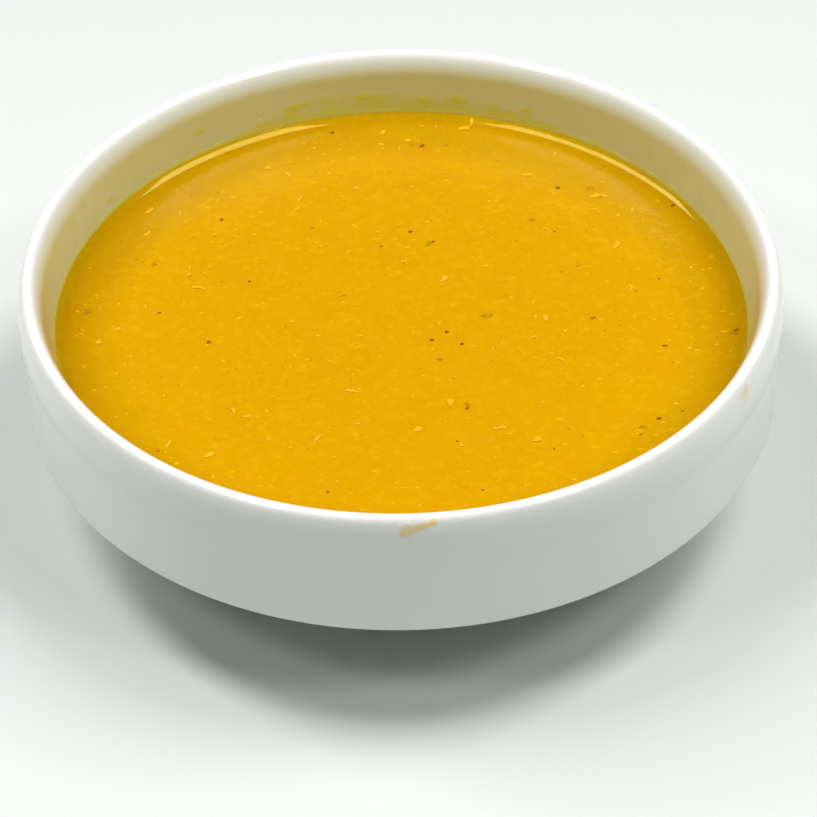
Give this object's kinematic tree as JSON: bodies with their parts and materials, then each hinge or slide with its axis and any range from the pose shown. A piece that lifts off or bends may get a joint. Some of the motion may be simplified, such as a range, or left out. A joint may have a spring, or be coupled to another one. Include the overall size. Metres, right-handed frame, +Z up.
{
  "type": "bowl of lentil soup",
  "caption": "Low round bowl with an upright band and a foot ring, filled with thick lentil soup to a little below its rim.",
  "frame": {"origin": "on the table, under the middle of the foot ring", "axes": "+Z up along the axis that the bowl is turned about; -Y towards the viewer of the picture"},
  "size_m": [0.13, 0.13, 0.044],
  "materials": {
    "porcelain": "clear gloss glaze over white porcelain",
    "lentil_soup": "wet, opaque, thick soup with fine grain"
  },
  "bodies": {
    "root": {"bowl": "porcelain", "soup": "lentil_soup"}
  },
  "joints": []
}
